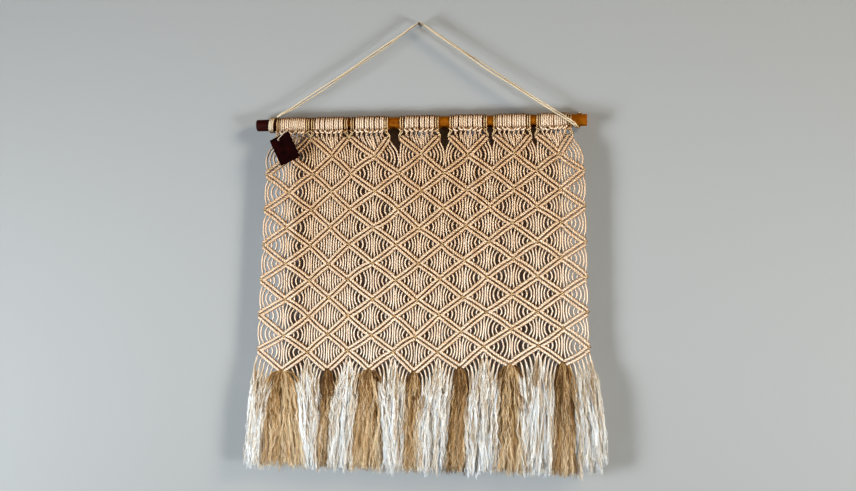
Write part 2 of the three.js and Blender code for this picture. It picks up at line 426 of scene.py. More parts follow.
def arc(half, bar, leg):
    """The free run from one bar to the next, bulging away from their knot towards the far line."""
    _, knot = bar_ends(half, bar)
    start = knot + (hitch_centre(half, bar, -1, leg)[0] - knot) * ARC_PULL
    end = knot + (hitch_centre(half, bar + 1, 1, leg)[0] - knot) * ARC_PULL
    open_right = knot[0] < start[0]
    outward = 1 if open_right else -1
    far_line = half + 1 if open_right else half
    width = abs(line_x(far_line, knot[2]) - knot[0])
    legs_outside = LEGS_PER_HALF - 1 - leg if open_right else leg
    free_edge = far_line in (0, HALVES)
    limit = width + 0.5 * MM if free_edge else width - COTTON_RADIUS - 0.1 * MM
    limit -= legs_outside * ARC_SPACING
    out = abs((start[0] + end[0]) / 2 - knot[0])
    reach = max(np.linalg.norm(start - knot), np.linalg.norm(end - knot))
    bulge = min(ARC_BULGE * reach + rng.normal(0, 0.5 * MM), limit - out)
    fullness = 2.0 + 2.5 * (out / width) ** 3
    place = np.linspace(-1, 1, 9)[1:-1]
    belly = 1 - np.abs(place) ** fullness
    x = start[0] + (end[0] - start[0]) * (place + 1) / 2 + outward * bulge * belly
    z = start[2] + (end[2] - start[2]) * (place + 1) / 2
    sag = WRAP_RADIUS + TUCK_DEPTH - (1.8 * MM + abs(rng.normal(0, 0.6 * MM))) * belly
    return np.stack([x, PANEL_Y + sag, z], axis=1)


# ---------------------------------------------------------------- heads on the dowel

PAIR_DRIFT = rng.normal(0, 0.35 * MM, (HALVES // 2, LEGS_PER_REPEAT // 2))
HEAD_DROP = rng.normal(0, 0.5 * MM, (HALVES // 2, LEGS_PER_REPEAT // 2))
HEAD_HALF_WIDTH = 1.52 * MM
FOLD_RADIUS = 1.75 * MM
CROSSING_Z = -17.4 * MM
BELOW_CROSSING_Z = -20.2 * MM


def is_jute(slot):
    return slot < 2 or slot > LEGS_PER_REPEAT - 3


def head_x(half, slot):
    """The two legs of a folded cord lie together on the dowel, with a little room between the pairs."""
    repeat, pair = half // 2, slot // 2
    left, right = HEADS_LEFT[repeat], HEADS_RIGHT[repeat]
    centre = left + (right - left) * (pair + 0.5) / (LEGS_PER_REPEAT // 2) + PAIR_DRIFT[repeat, pair]
    apart = JUTE_RADIUS + 0.7 * MM if is_jute(slot) else HEAD_HALF_WIDTH + 0.08 * MM
    return centre + (apart if slot % 2 else -apart)


def around_dowel(radius, angles, x):
    """Points round the dowel's axis. An angle is 0 at the top and grows towards the front."""
    return [(x, -radius * math.sin(angle), radius * math.cos(angle)) for angle in angles]


def larks_head(half, first_slot, second_slot, radius):
    """Up the dowel's front, down its back, under it, and across in front of both legs as the fold."""
    first_x, second_x = head_x(half, first_slot), head_x(half, second_slot)
    wrap = DOWEL_RADIUS + radius
    fold_z = -12.2 * MM + HEAD_DROP[half // 2, first_slot // 2]
    slant = 1.0 * MM * (1 if half % 2 else -1)
    fold_y = -wrap - 2.3 * radius
    outward = math.copysign(1, first_x - second_x)
    turn = np.radians(np.arange(115, -190, -30))

    def side(x, out):
        rising = [(x, -wrap + 0.9 * MM, -11.2 * MM)]
        over = around_dowel(wrap, turn, x)
        under = [
            (x + out * 1.0 * MM, -1.5 * MM, -wrap - 0.6 * MM),
            (x + out * 1.6 * MM, -6.5 * MM, fold_z + 1.0 * MM),
            (x + out * 1.5 * MM, fold_y + 2.0 * MM, fold_z + 0.5 * MM),
            (x + out * 0.4 * MM, fold_y + 0.2 * MM, fold_z - 0.7 * MM),
        ]
        return rising + over + under

    middle = [((first_x + second_x) / 2, fold_y - 0.3 * MM, fold_z - 1.2 * MM)]
    route = side(first_x, outward) + middle + side(second_x, -outward)[::-1]
    centres = smooth_route(route, 1.6 * MM)
    in_fold = np.clip((fold_y + 3.2 * MM - centres[:, 1]) / (2 * MM), 0, 1)
    from_middle = (centres[:, 0] - (first_x + second_x) / 2) / abs(first_x - second_x)
    centres[:, 2] += in_fold * slant * from_middle * 2
    return carried_frames(centres), centres, in_fold


def carried_frames(centres):
    """Side vectors carried along the route without turning round it."""
    along = unit(np.gradient(centres, axis=0))
    wides = [RIGHT]
    for direction in along:
        carried = wides[-1] - (wides[-1] @ direction) * direction
        wides.append(carried / np.linalg.norm(carried))
    return np.array(wides[1:])


# ---------------------------------------------------------------- the fringe

WHITE_SHIFTS = [x * MM for x in (2, 15, -9, 2, -9, -10, -9, -5)]
WHITE_HALF_WIDTHS = [w * MM for w in (6, 9, 15, 12, 18, 21, 19, 20)]
TAN_SHIFTS = [x * MM for x in (9, -1, -1, -3, -10, -7, -10)]
TAN_HALF_WIDTHS = [w * MM for w in (36, 10, 27, 13, 13, 23, 16)]
TAN_TONES = (0.26, 0.02, 0.15, 0.02, -0.15, 0.05, 0.0)
FRINGE_FLARE = 1.045
FIBRE_STEPS = 26
COTTON_FIBRES = 72
JUTE_FIBRES = 120
JUTE_UNDER_FIBRES = 70
UNDER_WIDTH = 1.5
FIBRE_SLOT = 1
SHORT_FIBRES = 0.12
SHORT_TAILS = 0.16
# Painted shade at the top of every fringe fibre, under the knots: how much darker the root is.
ROOT_PAINTED_SHADE = 0.5


def combed_fibres(tubes, route, feet_x, count, thickness, spread, locks, shades, stray, crimp, fan):
    """Fibres that follow a route, draw apart below its top, and end near the given feet across its width."""
    share = np.linspace(0, 1, FIBRE_STEPS)
    reach = np.linspace(0, len(route) - 1, FIBRE_STEPS)
    base = np.stack([np.interp(reach, np.arange(len(route)), route[:, axis]) for axis in range(3)], axis=1)
    lock = np.arange(count) % locks
    opened = share**0.7
    lock_place = rng.normal(0, 1, (locks, 2)) * spread
    lock_feet = rng.uniform(*feet_x, locks)
    zigzag = rng.normal(0, 1, (locks, FIBRE_STEPS, 2)) * crimp * 1.4
    slow_phase = rng.uniform(0, TURN, (locks, 2))
    slow = np.sin(share[None, :, None] * TURN * 1.6 + slow_phase[:, None]) * 2.0 * MM
    own = rng.normal(0, 1, (count, 2)) * spread * 0.45
    own_zigzag = rng.normal(0, 1, (count, FIBRE_STEPS, 2)) * crimp * 0.7
    wild = (rng.random(count) < stray) * rng.uniform(2, 5, count) + 1
    wander = np.cumsum(rng.normal(0, 1, (count, FIBRE_STEPS, 2)), axis=1) * 0.35 * MM
    wild_path = wander * (wild[:, None, None] - 1)
    free = np.minimum(share * 4, 1)[None, :, None]
    offset = (lock_place[lock] + own)[:, None] * opened[None, :, None]
    offset = offset + (zigzag[lock] + own_zigzag + slow[lock] + wild_path) * free
    fibres = np.repeat(base[None], count, axis=0)
    fibres[:, :, 0] += offset[:, :, 0] + (lock_feet[lock] - base[-1, 0])[:, None] * share[None] ** fan
    fibres[:, :, 1] += offset[:, :, 1] * 0.5
    fibres += rng.normal(0, 0.4 * MM, (count, 1, 3))
    length = rng.normal(0, 3 * MM, locks)[lock] + rng.normal(0, 2.5 * MM, count)
    length += (rng.random(count) < SHORT_FIBRES) * rng.uniform(5, 40, count) * MM
    fibres[:, :, 2] += length[:, None] * share[None]
    tone = np.clip(rng.uniform(*shades, locks)[lock] + rng.normal(0, 0.12, count), 0, 1)
    # Painted shade: darker towards the root, under the knots.
    tone = np.clip(tone[:, None] - ROOT_PAINTED_SHADE * (1 - share[None]) ** 2, 0, 1)
    radius = thickness * rng.uniform(0.7, 1.3, (count, 1)) * (1 - 0.35 * share[None] ** 3)
    tubes.add(fibres, radius, radius, 3, tone, FIBRE_SLOT)


def white_foot(half, leg):
    """The white tails gather under the edges of the repeats. Returns where this leg's tail ends."""
    band = (half + 1) // 2
    place = (leg + 0.5) / LEGS_PER_HALF
    if band in (0, HALVES // 2):
        place = 2 * place - 1
    elif half % 2 == 1:
        place = place - 1
    centre = edge_x(band, LAST_EDGE_Z) + WHITE_SHIFTS[band]
    return (centre + place * WHITE_HALF_WIDTHS[band]) * FRINGE_FLARE


# ---------------------------------------------------------------- cotton cords


def joined(parts):
    """Joins runs of (centres, widths, heights, wides, tones)."""
    return [np.concatenate(column) for column in zip(*parts)]


def free_run(centres, radius=COTTON_RADIUS, wides=None, tone=FREE_TONE):
    """A round stretch of cord. It carries the painted height shade: darker near the dowel, paler towards the
    bottom of the panel.
    """
    count = len(centres)
    if wides is None:
        wides = np.tile(RIGHT, (count, 1))
    widths = np.broadcast_to(radius, count)
    return centres, widths, widths * CORD_DEPTH, wides, painted_height_tone(centres, tone)


def painted_height_tone(centres, tone):
    """The tone at each centre, rising from the dowel to the last row: painted shade, darker near the dowel
    and paler towards the bottom.
    """
    return tone - 0.16 + 0.72 * np.clip(centres[:, 2] / LAST_EDGE_Z, 0, 1)


def cotton_leg(half, leg, slot):
    """The leg from the dowel, across its partner, through its hitches to below the last bar."""
    x, partner_x = head_x(half, slot), head_x(half, slot ^ 1)
    first_hitch = hitch(half, 1, 1, leg)
    centre, _, raised, _ = hitch_centre(half, 1, 1, leg)
    above = centre + raised * 3.2 * MM + BACK * (WRAP_RADIUS + 0.4 * MM)
    in_front = slot % 2 == 1
    crossing = np.array([(x + partner_x) / 2, -11.4 * MM if in_front else -8.2 * MM, CROSSING_Z])
    below = np.array([x * 0.1 + partner_x * 0.9, -8.6 * MM, BELOW_CROSSING_Z])
    upper = [np.array([x, -9.4 * MM, -13.6 * MM]), crossing]
    if below[2] - above[2] > 2.5 * MM:
        upper.append(below)
    if below[2] - above[2] > 8 * MM:
        sway = rng.normal(0, 0.7 * MM)
        upper.append(below * 0.5 + above * 0.5 + np.array([sway, -0.5 * MM, 0]))
    down = smooth_route([*upper, above, first_hitch[0][0]], 2.0 * MM)[:-1]
    runs = [free_run(down), first_hitch]
    for bar in range(1, BARS + 1):
        if bar > 1:
            runs.append(hitch(half, bar, 1, leg))
        runs.append(hitch(half, bar, -1, leg))
        if bar < BARS:
            runs.append(free_run(arc(half, bar, leg)))
    return runs


def tail_route(half, leg):
    """Below the last row: out square to the bar, then down to the tail's foot."""
    centre, _, raised, _ = hitch_centre(half, BARS, -1, leg)
    start = centre + BACK * (WRAP_RADIUS + TUCK_DEPTH)
    foot_x = white_foot(half, leg)
    layer = rng.uniform(-3.5, 1.0) * MM
    first = start - raised * 6 * MM - BACK * 1.2 * MM
    bend = first + np.array([-raised[0] * 3.5 * MM, -1.0 * MM, -8 * MM])
    foot_z = FRINGE_Z + rng.normal(0, 3 * MM)
    if rng.random() < SHORT_TAILS:
        foot_z += rng.uniform(15, 36) * MM
    lower_x = bend[0] + (foot_x - bend[0]) * 0.55
    return smooth_route(
        [
            start - raised * 2 * MM,
            first,
            bend,
            (lower_x, PANEL_Y + layer, bend[2] + (foot_z - bend[2]) * 0.4),
            (foot_x, PANEL_Y + layer, foot_z),
        ],
        2.2 * MM,
    )


def cotton_cord(half, cord, name, materials):
    first_slot = 2 + 2 * cord + (0 if half % 2 == 0 else LEGS_PER_HALF)
    tubes = TubeSet()
    sides = []
    for end in (0, 1):
        leg = 2 * cord + end
        route = tail_route(half, leg)
        whole_end = 12 if leg % 2 else 9
        taper = 1 - 0.45 * np.linspace(0, 1, whole_end) ** 2
        tail_run = free_run(route[:whole_end], COTTON_RADIUS * taper)
        sides.append([*cotton_leg(half, leg, first_slot + 1 - end), tail_run])
        foot = route[-1, 0]
        combed_fibres(
            tubes, route[3:], (foot - 3.2 * MM, foot + 3.2 * MM), COTTON_FIBRES, thickness=0.42 * MM,
            spread=1.2 * MM, locks=5, shades=(0.2, 1.0), stray=0.08, crimp=0.6 * MM, fan=0.85,
        )
    wides, head, in_fold = larks_head(half, first_slot + 1, first_slot, COTTON_RADIUS)
    head_run = list(free_run(head, COTTON_RADIUS, wides, HEAD_TONE))
    head_run[1] = HEAD_HALF_WIDTH + (FOLD_RADIUS - HEAD_HALF_WIDTH) * in_fold
    head_run[2] = COTTON_RADIUS + (FOLD_RADIUS - COTTON_RADIUS) * in_fold
    left = [run[::-1] for run in joined(sides[0])]
    right = joined(sides[1])
    right[3] = -right[3]
    whole = joined([left, head_run, right])
    tubes.add(whole[0], whole[1], whole[2], 8, whole[4] + rng.uniform(0, 0.3), 0, whole[3])
    return tubes.build(name, materials)


# ---------------------------------------------------------------- jute cords


def leader_route(half, row):
    """The leader's way down: through its row of each bar, across the knots, and back at a side edge."""
    direction = 1 if half % 2 == 0 else -1
    here = half
    points = []
    for bar in range(1, BARS + 1):
        upper, along, _, raised, length = bar_frame(here, bar)
        layer = BACK * 0.8 * MM * direction * (1 if bar % 2 else -1)
        knot = raised * KNOT_OFFSET * row
        if bar > 1:
            points.append(upper + along * 0.8 * MM + knot - layer)
        else:
            points.append(upper + knot)
        for share in (0.14, 0.36, 0.64, 0.86):
            points.append(row_place(here, bar, row, share * length))
        points.append(upper + along * (length - 0.8 * MM) + knot + layer)
        following = here + direction
        if following < 0 or following >= HALVES:
            corner = points[-1] + np.array([direction * 2.0 * MM, 0, -1.2 * MM]) - layer
            points.append(corner)
            direction = -direction
        else:
            here = following
    return points


def jute_leg(half, slot, row):
    x = head_x(half, slot)
    return smooth_route([(x, -8.8 * MM, -14.5 * MM), *leader_route(half, row)], 2.0 * MM)


def jute_cord(half, name, materials):
    outer, inner = (0, 1) if half % 2 == 0 else (LEGS_PER_REPEAT - 1, LEGS_PER_REPEAT - 2)
    upper_leg = jute_leg(half, inner, 1)
    lower_leg = jute_leg(half, outer, -1)
    wides, head, _ = larks_head(half, inner, outer, JUTE_RADIUS)
    route = np.vstack([upper_leg[::-1], head, lower_leg])
    sides = np.vstack([np.tile(RIGHT, (len(upper_leg), 1)), wides, -np.tile(RIGHT, (len(lower_leg), 1))])
    tubes = TubeSet()
    tubes.add(route, JUTE_RADIUS, JUTE_RADIUS, 8, rng.uniform(0.3, 0.7), 0, sides)
    for leg in (upper_leg, lower_leg):
        root = leg[-1]
        repeat = int(np.argmin([abs(line_x(2 * i + 1, root[2]) - root[0]) for i in range(HALVES // 2)]))
        width = TAN_HALF_WIDTHS[repeat]
        tone = TAN_TONES[repeat]
        centre = root[0] + TAN_SHIFTS[repeat]
        layer = PANEL_Y + rng.uniform(-2.0, 0.5) * MM
        tail = smooth_route(
            [
                root,
                root + np.array([0, -1.5 * MM, -6 * MM]),
                (root[0], layer, root[2] - 30 * MM),
                (centre * FRINGE_FLARE, layer, FRINGE_Z + rng.normal(0, 2 * MM)),
            ],
            2.2 * MM,
        )
        feet = ((centre - width) * FRINGE_FLARE, (centre + width) * FRINGE_FLARE)
        combed_fibres(
            tubes, tail, feet, JUTE_FIBRES, thickness=0.33 * MM, spread=1.8 * MM, locks=14,
            shades=(tone + 0.1, tone + 1.0), stray=0.2, crimp=0.9 * MM, fan=0.42,
        )
        under = tail + BACK * 3.2 * MM * np.linspace(0, 1, len(tail))[:, None] ** 0.4
        under_feet = [(centre + side * UNDER_WIDTH * width) * FRINGE_FLARE for side in (-1, 1)]
        combed_fibres(
            tubes, under, under_feet, JUTE_UNDER_FIBRES, thickness=0.36 * MM, spread=2.0 * MM, locks=14,
            shades=(tone, tone + 0.7), stray=0.1, crimp=0.8 * MM, fan=0.36,
        )
    return tubes.build(name, materials)


# ---------------------------------------------------------------- materials


def set_values(node, values):
    for name, value in values.items():
        node.inputs[name].default_value = value


def new_node(nodes, kind, values):
    node = nodes.new(kind)
    set_values(node, values)
    return node


def new_material(name, roughness, sheen=0.0, specular=0.5):
    material = bpy.data.materials.new(name)
    material.use_nodes = True
    shader = material.node_tree.nodes["Principled BSDF"]
    set_values(shader, {"Roughness": roughness, "Sheen Weight": sheen, "Specular IOR Level": specular})
    return material, material.node_tree.nodes, material.node_tree.links, shader


def feed(links, socket, value):
    """Gives a socket a number, a colour or another node's output."""
    if isinstance(value, (int, float)):
        socket.default_value = value
    elif isinstance(value, tuple):
        socket.default_value = (*value, 1)
    else:
        links.new(value, socket)


def maths(nodes, links, operation, first, second=0.0):
    node = nodes.new("ShaderNodeMath")
    node.operation = operation
    feed(links, node.inputs[0], first)
    feed(links, node.inputs[1], second)
    return node.outputs[0]


def mixed(nodes, links, share, first, second, blend="MIX"):
    node = nodes.new("ShaderNodeMix")
    node.data_type = "RGBA"
    node.blend_type = blend
    for socket, value in (("Factor", share), (6, first), (7, second)):
        feed(links, node.inputs[socket], value)
    return node.outputs[2]


def colour_ramp(nodes, links, source, stops):
    ramp = nodes.new("ShaderNodeValToRGB")
    links.new(source, ramp.inputs["Fac"])
    elements = ramp.color_ramp.elements
    while len(elements) < len(stops):
        elements.new(0.5)
    for element, (place, colour) in zip(elements, stops):
        element.position = place
        element.color = (*colour, 1)
    return ramp.outputs["Color"]


def object_place(nodes):
    return nodes.new("ShaderNodeTexCoord").outputs["Object"]


def own_shade(nodes):
    """The tone that each cord or fibre carries in its mesh."""
    shade = nodes.new("ShaderNodeAttribute")
    shade.attribute_name = "shade"
    return shade.outputs["Fac"]


def noise_pattern(nodes, links, place, scale, detail):
    noise = new_node(nodes, "ShaderNodeTexNoise", {"Scale": scale, "Detail": detail})
    links.new(place, noise.inputs["Vector"])
    return noise.outputs["Fac"]


def scaled_sum(nodes, links, first, first_scale, second, second_scale):
    first = maths(nodes, links, "MULTIPLY", first, first_scale)
    return maths(nodes, links, "ADD", first, maths(nodes, links, "MULTIPLY", second, second_scale))


def add_bump(nodes, links, shader, height, strength, distance):
    bump = new_node(nodes, "ShaderNodeBump", {"Strength": strength, "Distance": distance})
    links.new(height, bump.inputs["Height"])
    links.new(bump.outputs["Normal"], shader.inputs["Normal"])


def facing(nodes, links):
    """The mask for the painted side shade: 1 where the surface faces front or back, 0 where it faces its
    neighbours, in the object's own frame.
    """
    place = nodes.new("ShaderNodeTexCoord")
    split = nodes.new("ShaderNodeSeparateXYZ")
    links.new(place.outputs["Normal"], split.inputs["Vector"])
    return maths(nodes, links, "ABSOLUTE", split.outputs["Y"])


def cord_material(name, stops, side_shade_colour, plies, twist, bump_depth):
    """Twisted cord: plies wind round it, with painted shade in the grooves between them and on the sides that
    face its neighbours.
    """
    material, nodes, links, shader = new_material(name, 0.9, sheen=0.04, specular=0.1)
    uv = nodes.new("ShaderNodeUVMap")
    uv.uv_map = "round"
    split = nodes.new("ShaderNodeSeparateXYZ")
    links.new(uv.outputs["UV"], split.inputs["Vector"])
    around = maths(nodes, links, "MULTIPLY", split.outputs["X"], float(plies))
    along = maths(nodes, links, "MULTIPLY", split.outputs["Y"], float(twist))
    wound = maths(nodes, links, "ADD", around, along)
    wave = maths(nodes, links, "SINE", maths(nodes, links, "MULTIPLY", wound, math.pi))
    ridge = maths(nodes, links, "ABSOLUTE", wave)
    noise = noise_pattern(nodes, links, object_place(nodes), 700, 3)
    # Painted shade in the grooves between the plies: the tone drops where the ply wave runs low.
    ply_groove_shade = maths(nodes, links, "MULTIPLY", ridge, 0.45)
    tone = maths(nodes, links, "ADD", ply_groove_shade, scaled_sum(nodes, links, noise, 0.28, own_shade(nodes), 0.38))
    front = colour_ramp(nodes, links, tone, stops)
    # Painted shade on the sides that face neighbouring cords: dark where the surface faces sideways, none
    # where it faces front or back.
    turning_shade_colour = tuple(value**0.25 for value in side_shade_colour)
    painted_side_stops = [(0.3, side_shade_colour), (0.55, turning_shade_colour), (0.82, (1, 1, 1))]
    painted_side_shade = colour_ramp(nodes, links, facing(nodes, links), painted_side_stops)
    links.new(mixed(nodes, links, 1.0, front, painted_side_shade, "MULTIPLY"), shader.inputs["Base Color"])
    relief = maths(nodes, links, "ADD", ridge, maths(nodes, links, "MULTIPLY", noise, 0.4))
    add_bump(nodes, links, shader, relief, 0.6, bump_depth)
    return material


def fibre_material(name, stops):
    material, nodes, links, shader = new_material(name, 0.75, sheen=0.06, specular=0.15)
    noise = noise_pattern(nodes, links, object_place(nodes), 45, 2)
    tone = scaled_sum(nodes, links, own_shade(nodes), 0.75, noise, 0.25)
    links.new(colour_ramp(nodes, links, tone, stops), shader.inputs["Base Color"])
    return material


def wood_material():
    """Stained softwood: rings about the pith, streaks along the dowel, and darker towards its left end."""
    material, nodes, links, shader = new_material("dowel_wood", 0.6, specular=0.06)
    place = object_place(nodes)
    stretch = new_node(nodes, "ShaderNodeMapping", {"Scale": (14, 260, 260)})
    links.new(place, stretch.inputs["Vector"])
    grain = noise_pattern(nodes, links, stretch.outputs["Vector"], 1, 5)
    rings = new_node(nodes, "ShaderNodeTexWave", {"Scale": 300, "Distortion": 2.5, "Detail": 2})
    rings.wave_type = "RINGS"
    rings.rings_direction = "X"
    links.new(place, rings.inputs["Vector"])
    tone = scaled_sum(nodes, links, grain, 0.7, rings.outputs["Fac"], 0.3)
    honey_stops = [(0.3, (0.11, 0.02, 0.0005)), (0.55, (0.26, 0.065, 0.001)), (0.8, (0.38, 0.12, 0.003))]
    honey = colour_ramp(nodes, links, tone, honey_stops)
    dark = colour_ramp(nodes, links, tone, [(0.3, (0.005, 0.0004, 0.0002)), (0.8, (0.035, 0.0025, 0.001))])
    split = nodes.new("ShaderNodeSeparateXYZ")
    links.new(place, split.inputs["Vector"])
    # Darker towards the dowel's left end.
    toward_dark_end = new_node(nodes, "ShaderNodeMapRange", {"From Min": DARK_END_SPAN[0], "From Max": DARK_END_SPAN[1]})
    links.new(split.outputs["X"], toward_dark_end.inputs["Value"])
    links.new(mixed(nodes, links, toward_dark_end.outputs["Result"], dark, honey), shader.inputs["Base Color"])
    add_bump(nodes, links, shader, tone, 0.5, 0.2 * MM)
    return material


def leather_material():
    """Dark, almost black leather: fine grain and faint red in the worn places."""
    material, nodes, links, shader = new_material("tag_leather", 0.8, specular=0.02)
    place = object_place(nodes)
    grain = new_node(nodes, "ShaderNodeTexVoronoi", {"Scale": 900})
    links.new(place, grain.inputs["Vector"])
    cloud = noise_pattern(nodes, links, place, 120, 4)
    hide_stops = [
        (0.3, (0.004, 0.0004, 0.0004)), (0.55, (0.009, 0.0007, 0.0006)), (0.75, (0.02, 0.0015, 0.0012)),
    ]
    links.new(colour_ramp(nodes, links, cloud, hide_stops), shader.inputs["Base Color"])
    relief = maths(nodes, links, "ADD", grain.outputs["Distance"], cloud)
    add_bump(nodes, links, shader, relief, 0.5, 0.15 * MM)
    return material


# Colour ramps: (place, colour) from the darkest tone to the palest
COTTON_STOPS = [
    (0.25, (0.40, 0.20, 0.07)), (0.5, (0.80, 0.50, 0.28)),
    (0.75, (0.95, 0.74, 0.55)), (0.95, (0.98, 0.86, 0.75)),
]
# Colour of the painted shade on the cotton cords' sides, where neighbouring cords shade them
COTTON_SIDE_SHADE = (0.085, 0.024, 0.003)
COTTON_FIBRE_STOPS = [(0.1, (0.42, 0.26, 0.12)), (0.36, (0.82, 0.70, 0.56)), (0.62, (0.98, 0.97, 0.96))]
JUTE_STOPS = [(0.2, (0.24, 0.08, 0.015)), (0.45, (0.62, 0.36, 0.15)), (0.8, (0.90, 0.64, 0.36))]
# Colour of the painted shade on the jute cords' sides
JUTE_SIDE_SHADE = (0.07, 0.022, 0.004)
JUTE_FIBRE_STOPS = [(0.08, (0.11, 0.036, 0.005)), (0.42, (0.57, 0.33, 0.12)), (0.78, (0.98, 0.80, 0.55))]
HANGER_STOPS = [(0.2, (0.45, 0.30, 0.15)), (0.55, (0.76, 0.60, 0.40)), (0.95, (0.90, 0.78, 0.60))]
# Colour of the painted shade on the hanger cord's sides
HANGER_SIDE_SHADE = (0.40, 0.24, 0.11)


# ---------------------------------------------------------------- hanger, dowel, tag

NAIL_RADIUS = 1.5 * MM
HANGER_RADIUS = 1.5 * MM
HANGER_STRAND = 1.25 * MM
LEFT_WRAP_X = -234.4 * MM
LEFT_TURNS = 3.35
TAIL_TURN = 0.35
BACK_STRAND_X = -224.4 * MM
WRAP_PITCH = 2.52 * MM
WRAP_LEAN = -3.2 * MM
STRAND_Y = 1.6 * MM
NAIL_REACH = NAIL_RADIUS + HANGER_RADIUS
# Both strands cross the front of the last heads, go under the dowel and meet over its top.
# The heights are from the dowel's axis.
RIGHT_HITCH_MM = [
    (204, -5.5, 12.8), (209, -9.6, 9.4), (215, -12.4, 5.4), (223, -13.5, 0), (231.5, -12.2, -6.2),
    (235.5, -8, -9.6), (237, -2, -11.1), (238, 4, -10.3), (239, 9.6, -5), (239.6, 10.9, 1), (240, 8.2, 7),
    (240.1, 3, 10.5), (239.9, 0.9, 10.8), (240.5, -0.8, 10.9), (241.8, -1.5, 10.9), (243.1, -0.8, 10.9),
    (243.7, 0.9, 10.8), (243.5, 3, 10.5), (243.6, 8.2, 7), (243.2, 10.9, 1), (242.4, 9.6, -5),
    (241.6, 4, -10.3), (240.4, -2, -11.1), (238.8, -8, -9.4), (233.6, -12.4, -4), (224.6, -13.4, 2.3),
    (216.6, -11, 7.7), (210.6, -7.6, 11.7), (205.6, -5.3, 15.1),
]
HANGER_WRAP = DOWEL_RADIUS + 0.3 * MM + HANGER_RADIUS


def dowel_turns(first_turn, last_turn, x_from):
    """Points round the dowel: turn 0 on top and growing to the back. The turns lean sideways under it."""
    turns = np.linspace(first_turn, last_turn, int(9 * abs(last_turn - first_turn)) + 2)
    angles = turns * TURN
    x = x_from + np.abs(turns - first_turn) * WRAP_PITCH + WRAP_LEAN * (1 - np.cos(angles)) / 2
    return [
        (place, HANGER_WRAP * math.sin(angle), HANGER_WRAP * math.cos(angle) - DOWEL_DROP)
        for place, angle in zip(x, angles)
    ]


def hanger_span(bottom, y, droop, sway):
    """From the bottom up towards the nail: five points, a little wavy."""
    bottom = np.array(bottom)
    top = np.array([math.copysign(NAIL_REACH, bottom[0]), y, 0.5 * NAIL_REACH])
    places = []
    for share, bend in ((0.12, 0.3), (0.3, 1.0), (0.5, -0.6), (0.72, 0.7), (0.9, -0.2)):
        place = bottom + (top - bottom) * share
        place[2] += sway * bend - droop * 4 * share * (1 - share)
        places.append(place)
    return places


def over_nail(y, way):
    """Three points over the nail, from its left to its right where way is 1, and back where it is -1."""
    places = ((-way, 0.5), (0, 1), (way, 0.5))
    return [(side * NAIL_REACH, y, height * NAIL_REACH) for side, height in places]


def hanger_route():
    """Turns at the left, over the nail in front, the hitch at the right, and back over the nail behind."""
    front_x = LEFT_WRAP_X + LEFT_TURNS * WRAP_PITCH
    top_z = HANGER_WRAP - DOWEL_DROP
    right_hitch = [(x * MM, y * MM, z * MM - DOWEL_DROP) for x, y, z in RIGHT_HITCH_MM]
    return [
        *dowel_turns(TAIL_TURN, TAIL_TURN - LEFT_TURNS, LEFT_WRAP_X),
        *hanger_span((front_x, -STRAND_Y, top_z), -STRAND_Y, 0.8 * MM, 0.9 * MM),
        *over_nail(-STRAND_Y, 1),
        *hanger_span(right_hitch[0], -STRAND_Y, 3.2 * MM, 1.0 * MM)[::-1],
        *right_hitch,
        *hanger_span(right_hitch[-1], STRAND_Y, 0.6 * MM, -0.6 * MM),
        *over_nail(STRAND_Y, -1),
        *hanger_span((BACK_STRAND_X, STRAND_Y, top_z), STRAND_Y, 2.8 * MM, -1.2 * MM)[::-1],
        *dowel_turns(0, 0.45, BACK_STRAND_X),
    ]


def make_hanger(materials):
    centres = smooth_route(hanger_route(), 1.1 * MM)
    tubes = TubeSet()
    wides = carried_frames(centres)
    tubes.add(centres, HANGER_STRAND, HANGER_STRAND, 9, 0.6, 0, wides, lobes=(3, 95, 0.16))
    return tubes.build("hanger_twine", materials), centres


def make_dowel(material):
    """The rod, turned slightly out of true, with rounded ends."""
    rounding = 1.0 * MM
    xs = [DOWEL_ENDS[0], DOWEL_ENDS[0] + 0.3 * rounding, DOWEL_ENDS[0] + rounding]
    radii = [DOWEL_RADIUS - rounding, DOWEL_RADIUS - 0.35 * rounding, DOWEL_RADIUS]
    for x in np.linspace(DOWEL_ENDS[0] + 4 * MM, DOWEL_ENDS[1] - 4 * MM, 60):
        xs.append(x)
        radii.append(DOWEL_RADIUS + 0.12 * MM * math.sin(70 * x) * math.sin(31 * x + 1))
    xs += [DOWEL_ENDS[1] - rounding, DOWEL_ENDS[1] - 0.3 * rounding, DOWEL_ENDS[1]]
    radii += [DOWEL_RADIUS, DOWEL_RADIUS - 0.35 * rounding, DOWEL_RADIUS - rounding]
    centres = np.array([(x, 0, 0) for x in xs])
    tubes = TubeSet()
    tubes.add(centres, np.array(radii), np.array(radii), 40, 0.5, 0, (0, 1.0, 0))
    return tubes.build("dowel_turned", [material])


TAG_SIZE = (33.5 * MM, 43.5 * MM)
TAG_THICKNESS = 2.2 * MM
TAG_CORNER = 1.8 * MM
TAG_CENTRE = (-207 * MM, -17.7 * MM, -38 * MM)
TAG_TURN = math.radians(25.5)
TAG_HOLE = (-4 * MM, 17.2 * MM)
TAG_HOLE_RADIUS = 1.7 * MM
TIE_TOP = (-206.5 * MM, -12.6 * MM, -6 * MM)
TIE_RADIUS = 0.6 * MM


def closed_spline(curve, points):
    spline = curve.splines.new("POLY")
    spline.points.add(len(points) - 1)
    for point, (x, y) in zip(spline.points, points):
        point.co = (x, y, 0, 1)
    spline.use_cyclic_u = True


def tag_outline(inset):
    half_x, half_y = TAG_SIZE[0] / 2 - TAG_CORNER, TAG_SIZE[1] / 2 - TAG_CORNER
    points = []
    for corner, (sx, sy) in enumerate(((1, 1), (-1, 1), (-1, -1), (1, -1))):
        for step in range(7):
            angle = (corner + step / 6) * math.pi / 2
            points.append((sx * half_x + (TAG_CORNER - inset) * math.cos(angle),
                           sy * half_y + (TAG_CORNER - inset) * math.sin(angle)))
    return points


